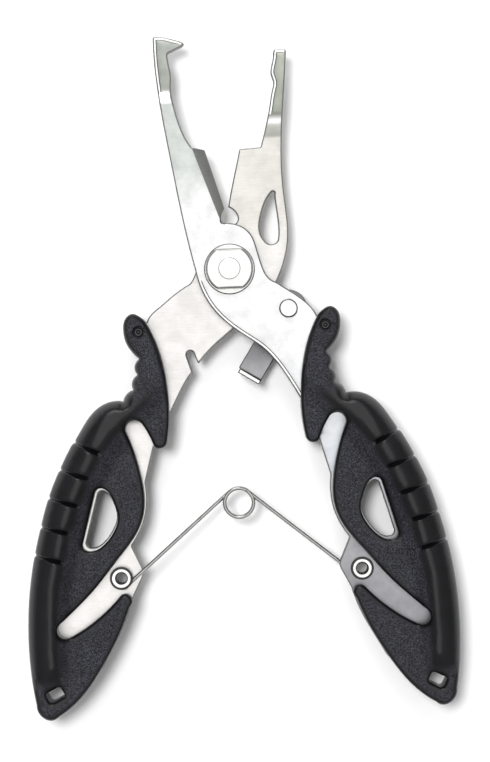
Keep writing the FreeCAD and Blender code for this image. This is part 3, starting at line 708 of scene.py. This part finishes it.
def tube(path, around=14):
    """Vertices and faces of a round wire along a path, with rounded ends."""
    path = np.array(path)
    ahead = np.gradient(path, axis=0)
    ahead /= np.linalg.norm(ahead, axis=1)[:, None]
    rings = [(path[0] - ahead[0] * WIRE * out, ahead[0], share) for out, share in WIRE_END]
    rings += [(point, tangent, 1.0) for point, tangent in zip(path, ahead)]
    rings += [(path[-1] + ahead[-1] * WIRE * out, ahead[-1], share) for out, share in WIRE_END[::-1]]
    verts = []
    for centre, tangent, share in rings:
        up = np.array([0, 0, 1.0]) - tangent * tangent[2]
        up /= np.linalg.norm(up)
        out = np.cross(tangent, up)
        for k in range(around):
            angle = 2 * math.pi * k / around
            verts.append(centre + share * WIRE * (math.cos(angle) * out + math.sin(angle) * up))
    faces = []
    last = (len(rings) - 1) * around
    for ring in range(0, last, around):
        for k in range(around):
            after = (k + 1) % around
            faces.append((ring + after, ring + k, ring + around + k, ring + around + after))
    faces.append(tuple(range(around)))
    faces.append(tuple(last + k for k in reversed(range(around))))
    return verts, faces


def turned(centre, radius, start, sweep, heights):
    """A path round a centre from a start angle through a sweep in degrees, one place per height."""
    angles = np.radians(np.linspace(start, start + sweep, len(heights)))
    x, y = centre
    return np.column_stack([x + radius * np.cos(angles), y + radius * np.sin(angles), heights])


# Each leg is a straight line that leaves the coil on one side and meets the eyelet's loop on the other.
span = math.hypot(EYELET[0] - COIL[0], EYELET[1] - COIL[1])
slope = math.atan2(EYELET[1] - COIL[1], EYELET[0] - COIL[0])
heading = slope - math.asin((COIL_RADIUS + LOOP_RADIUS) / span)
leg_start = math.degrees(heading) + 90
heading_vector = np.array([math.cos(heading), math.sin(heading)])
outward = np.array([-heading_vector[1], heading_vector[0]])
at_coil = np.array([*(np.array(COIL) + outward * COIL_RADIUS), COIL_RISE])
at_loop = np.array([*(np.array(EYELET) - outward * LOOP_RADIUS), LOOP_Z])
bend = at_loop - LEG_FLAT * np.array([*heading_vector, 0])

# From the coil along the leg, level before the tang, and round the eyelet.
leg_path = np.vstack([
    [at_coil + (bend - at_coil) * t for t in np.linspace(0, 0.94, 12)],
    [bend + (at_loop - bend) * t for t in np.linspace(0.15, 0.97, 8)],
    turned(EYELET, LOOP_RADIUS, leg_start - 180, LOOP_SWEEP, np.full(LOOP_STEPS, LOOP_Z)),
])
leg_verts, leg_faces = tube(leg_path)
for side in (RIGHT, LEFT):
    body = f"spring_{SIDES[side]}"
    new_piece(body + "_leg", leg_verts, [leg_faces], [drawn_wire], body, [body + "_half"],
              flips=(side, side))

# A little over three turns, from the right leg in front down to the left leg behind.
turning = 2 * (360 * 2 - 90 - leg_start)
coil_path = turned(COIL, COIL_RADIUS, leg_start, -turning,
                   np.linspace(COIL_RISE, -COIL_RISE, COIL_STEPS))
verts, faces = tube(coil_path)
mesh = bpy.data.meshes.new("spring_coil")
mesh.from_pydata([row(*v) for v in verts], [], faces)
mesh.polygons.foreach_set("use_smooth", [True] * len(mesh.polygons))
mesh.materials.append(drawn_wire)
coil = bpy.data.objects.new("spring_coil", mesh)
scene.collection.objects.link(coil)
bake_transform(coil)


# ---------------------------------------------------------------- handle shells

# The foot of the raised ridge, from the finger guard's inner edge to past the handle's end.
VALLEY = np.array([
    (9.0, -18.5), (12.4, -19.3), (13.5, -20.0), (14.9, -22.0), (17.0, -24.5), (20.0, -27.0),
    (22.5, -29.7), (25.0, -32.8), (27.3, -37.2), (29.4, -42.1), (31.3, -47.0), (32.5, -52.0),
    (33.8, -57.0), (34.3, -62.0), (34.4, -68.0), (34.2, -74.5), (33.6, -90.0),
])
# Cuts across the ridge, each from past the handle's outer edge to the valley.
GROOVES = [
    [(30.0, -30.3), (25.0, -32.8)], [(32.9, -35.3), (27.3, -37.2)], [(35.2, -40.4), (29.4, -42.1)],
    [(36.8, -45.7), (31.2, -47.0)], [(38.2, -50.7), (32.5, -52.3)],
]
# Height of the flat web between the ridge and the openings, and how far edges are rounded.
WEB = 3.2
EDGE = 0.7
HOLE_EDGE = 0.40
PIN_HOLE_EDGE = 0.10
# Heights where the two shells meet, and where they meet the tang.
SPLIT = 0.02
POCKET = 0.93
# How softly the ridge bends up from the web and over its crest.
RIDGE_BEND = 0.55
# The face dips this much over this reach on each side of a grip cut, and the outline is nicked by it.
DIP = 0.15
DIP_REACH = 1.2
NICK = 0.30
# Along the handle: crest height above the web, width of the dark inner flank, distance of the crest
# from the flank's top, width of the outer rounding, and the height where that rounding ends.
RIDGE_Y, RISE, FLANK, CREST, ROUNDING, FOOT = np.array([
    (-80.5, 0.0, 2.2, 0.6, 1.2, 2.3),
    (-75.6, 0.05, 2.2, 0.6, 1.6, 2.3),
    (-74.0, 1.1, 2.2, 0.6, 3.0, 2.4),
    (-71.5, 2.3, 2.2, 0.6, 4.6, 2.4),
    (-64.0, 2.7, 2.5, 0.6, 4.9, 2.4),
    (-52.0, 2.8, 2.6, 0.9, 4.8, 2.4),
    (-45.0, 2.8, 2.4, 1.0, 4.6, 2.4),
    (-38.0, 2.8, 3.0, 1.0, 4.6, 2.4),
    (-32.0, 2.8, 3.2, 1.0, 4.2, 2.4),
    (-28.0, 2.6, 2.8, 1.1, 3.4, 2.3),
    (-25.0, 2.0, 2.4, 1.2, 2.6, 2.2),
    (-22.0, 1.4, 2.2, 1.3, 1.4, 2.3),
    (-19.0, 0.9, 2.0, 1.4, 1.0, 2.4),
    (-14.0, 0.6, 1.6, 1.4, 0.9, 2.4),
    (-8.0, 0.3, 1.6, 1.4, 0.9, 2.5),
]).T


def beside_valley(points):
    """Distance from the valley, positive on the ridge's side."""
    distance, which, _ = to_segments(points, VALLEY[:-1], VALLEY[1:])
    run = (VALLEY[1:] - VALLEY[:-1])[which]
    away = points - VALLEY[:-1][which]
    return np.where(run[:, 0] * away[:, 1] - run[:, 1] * away[:, 0] > 0, distance, -distance)


def along_handle(points, values):
    return np.interp(points[:, 1], RIDGE_Y, values)


def relief(points, loops):
    """Height of the handle's face above the mid-plane at each point."""
    side = beside_valley(points)
    flank = along_handle(points, FLANK)
    up = fold(side, -flank, along_handle(points, CREST), RIDGE_BEND)
    top = WEB + along_handle(points, RISE) * up

    # The outline's own rounding where it runs along the ridge.
    starts, ends = both_ends(loops)
    on_outline = np.arange(len(starts)) < len(loops[0])
    on_ridge = np.where(on_outline, smooth(beside_valley(starts) / 2.4), 0)
    around = on_ridge > 0.02
    gap, which, _ = to_segments(points, starts[around], ends[around])
    nearest, share = starts[around][which], on_ridge[around][which]
    radius = EDGE + (along_handle(nearest, ROUNDING) - EDGE) * share
    foot = (top - EDGE) + (along_handle(nearest, FOOT) - (top - EDGE)) * share
    height = foot + (top - foot) * quarter_round(gap, radius, 2.0 - 0.4 * share)

    # A plain rounding everywhere else. The guard pin's hole is the one near the front.
    gap, which, _ = to_segments(points, starts[~around], ends[~around])
    in_front = starts[~around][which][:, 1] > -20
    by_hole = ~on_outline[~around][which]
    radius = np.where(by_hole, np.where(in_front, PIN_HOLE_EDGE, HOLE_EDGE), EDGE)
    height = np.minimum(height, top - radius * (1 - quarter_round(gap, radius)))

    ridge_only = smooth(side / 0.9 + 0.5)
    deep = smooth((3.6 - side) / 1.6)
    for start, end in GROOVES:
        away = to_segments(points, np.array([start]), np.array([end]))[0]
        dip = DIP * np.exp(-((away / DIP_REACH) ** 2))
        notch = (0.30 + 0.55 * deep) * np.exp(-((away / (0.17 + 0.13 * deep)) ** 2))
        height -= ridge_only * (dip + notch)
    return height


def nicked(points, loops):
    """The points, drawn in a little where the grooves run out over the handle's outer edge."""
    starts, ends = both_ends(loops)
    gap, which, _ = to_segments(points, starts, ends)
    normals = np.vstack([inward(loop) for loop in loops])[which]
    depth = np.zeros(len(points))
    for start, end in GROOVES:
        away, _, share = to_segments(points, np.array([start]), np.array([end]))
        depth += np.where(share < 0.5, NICK * np.exp(-((away / 0.26) ** 2)), 0)
    return points + normals * (depth * np.exp(-gap / 0.5))[:, None]


shell_loops = rims(loops_at("right_front_shell", 3.05), 0.30)
tang_loops = rims(loops_at("front_lever", 0.1), 0.30)
tang_rows = np.vstack([
    loop + inward(loop) * offset for loop in tang_loops for offset in (-0.02, -0.10)
])
groove_offsets = (0.0, 0.12, -0.12, 0.26, -0.26, 0.42, -0.42, 0.62, -0.62)
groove_rows = np.vstack([beside(start, end, groove_offsets, 0.28) for start, end in GROOVES])
shell_points = scatter(shell_loops, (0.10, 0.25, 0.45, 0.70, 1.0),
                       [(groove_rows, 0.11), (tang_rows, 0.07)], 0.48)
tang_gap = to_segments(shell_points, *both_ends(tang_loops))[0]
over_tang = inside_of(shell_points, tang_loops) | (tang_gap < 0.06)
shell_verts, *shell_faces = slab(shell_loops, shell_points, relief(shell_points, shell_loops),
                                 np.where(over_tang, POCKET, SPLIT))
moved = nicked(shell_points, shell_loops)
shell_verts = [(*p, v[2]) for p, v in zip(np.vstack([moved, moved]), shell_verts)]

# The ridge is smooth and glossy, and so is every edge but those of the pin hole; both are also darkened
# as painted shade for the dark ridge and outlines.
shell_y = shell_points[:, 1]
ridge_polish_and_shade = smooth(beside_valley(shell_points) + 1.0) * smooth((-21 - shell_y) / 3)
ridge_polish_and_shade *= smooth((shell_y + 75.5) / 2)
shaded_rim_loops = [loop for loop in shell_loops if np.ptp(loop[:, 1]) > 2.4]
rim_polish_and_shade = smooth((1.0 - to_segments(shell_points, *both_ends(shaded_rim_loops))[0]) / 0.5)
shell_polish_and_shade = np.tile(np.maximum(ridge_polish_and_shade, rim_polish_and_shade), 2)

for side in (RIGHT, LEFT):
    for face in (FRONT, BACK):
        node = f"{SIDES[side]}_{FACES[face]}_shell"
        new_piece(node + "_moulding", shell_verts, [sum(shell_faces, [])], [black_abs],
                  nodes[node]["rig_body"], [node], flips=(side, face), sharp=50.0,
                  polish_and_shade=shell_polish_and_shade)


# ---------------------------------------------------------------- floor, light and camera

floor_mesh = bpy.data.meshes.new("floor")
reach = 2.5
corners = [(-reach, -reach, 0), (reach, -reach, 0), (reach, reach, 0), (-reach, reach, 0)]
floor_mesh.from_pydata(corners, [], [(0, 1, 2, 3)])
floor = bpy.data.objects.new("floor", floor_mesh)
scene.collection.objects.link(floor)
floor.location.z = -0.0001
paper = Nodes("paper")
paper.shader.inputs["Base Color"].default_value = (0.92, 0.92, 0.92, 1)
paper.shader.inputs["Roughness"].default_value = 0.9
floor_mesh.materials.append(paper.material)

# A dome that is dim near the horizon and brighter overhead.
world = bpy.data.worlds.new("studio")
world.use_nodes = True
sky = world.node_tree.nodes
height = sky.new("ShaderNodeSeparateXYZ")
dome = sky.new("ShaderNodeMapRange")
for name, number in zip(RANGE_ENDS, (0.15, 0.8, 0.25, 0.54)):
    dome.inputs[name].default_value = number
world.node_tree.links.new(sky.new("ShaderNodeTexCoord").outputs["Generated"], height.inputs["Vector"])
world.node_tree.links.new(height.outputs["Z"], dome.inputs["Value"])
world.node_tree.links.new(dome.outputs["Result"], sky["Background"].inputs["Strength"])
sky["Background"].inputs["Color"].default_value = (1.0, 1.0, 1.0, 1.0)
scene.world = world


def area_light(name, place, size, power):
    light = bpy.data.lights.new(name, "AREA")
    light.shape = "DISK"
    light.size = size
    light.energy = power
    obj = bpy.data.objects.new(name, light)
    obj.location = place
    obj.rotation_euler = (row(0, -20) - Vector(place)).to_track_quat("-Z", "Y").to_euler()
    scene.collection.objects.link(obj)
    return obj


key = area_light("key", (-0.19, 0.15, 0.95), 0.30, 7.2)
key.visible_glossy = False
card = area_light("overhead_card", (0.0, 0.0, 0.95), 1.25, 3.65)
card.visible_diffuse = False
area_light("top_box", (-0.10, 0.75, 0.62), 0.50, 2.6)

view_centre = (2.0, -20.6)
view_height = 0.1402
camera_tilt = math.radians(-2.35)
distance = 0.400
camera_data = bpy.data.cameras.new("camera")
camera_data.sensor_width = 36.0
camera_data.lens = 36.0 * distance / view_height
camera = bpy.data.objects.new("camera", camera_data)
camera.location = row(*view_centre) + Vector((0, 0, distance))
camera.rotation_euler = (0, 0, camera_tilt)
scene.collection.objects.link(camera)
scene.camera = camera
scene.view_settings.view_transform = "Standard"
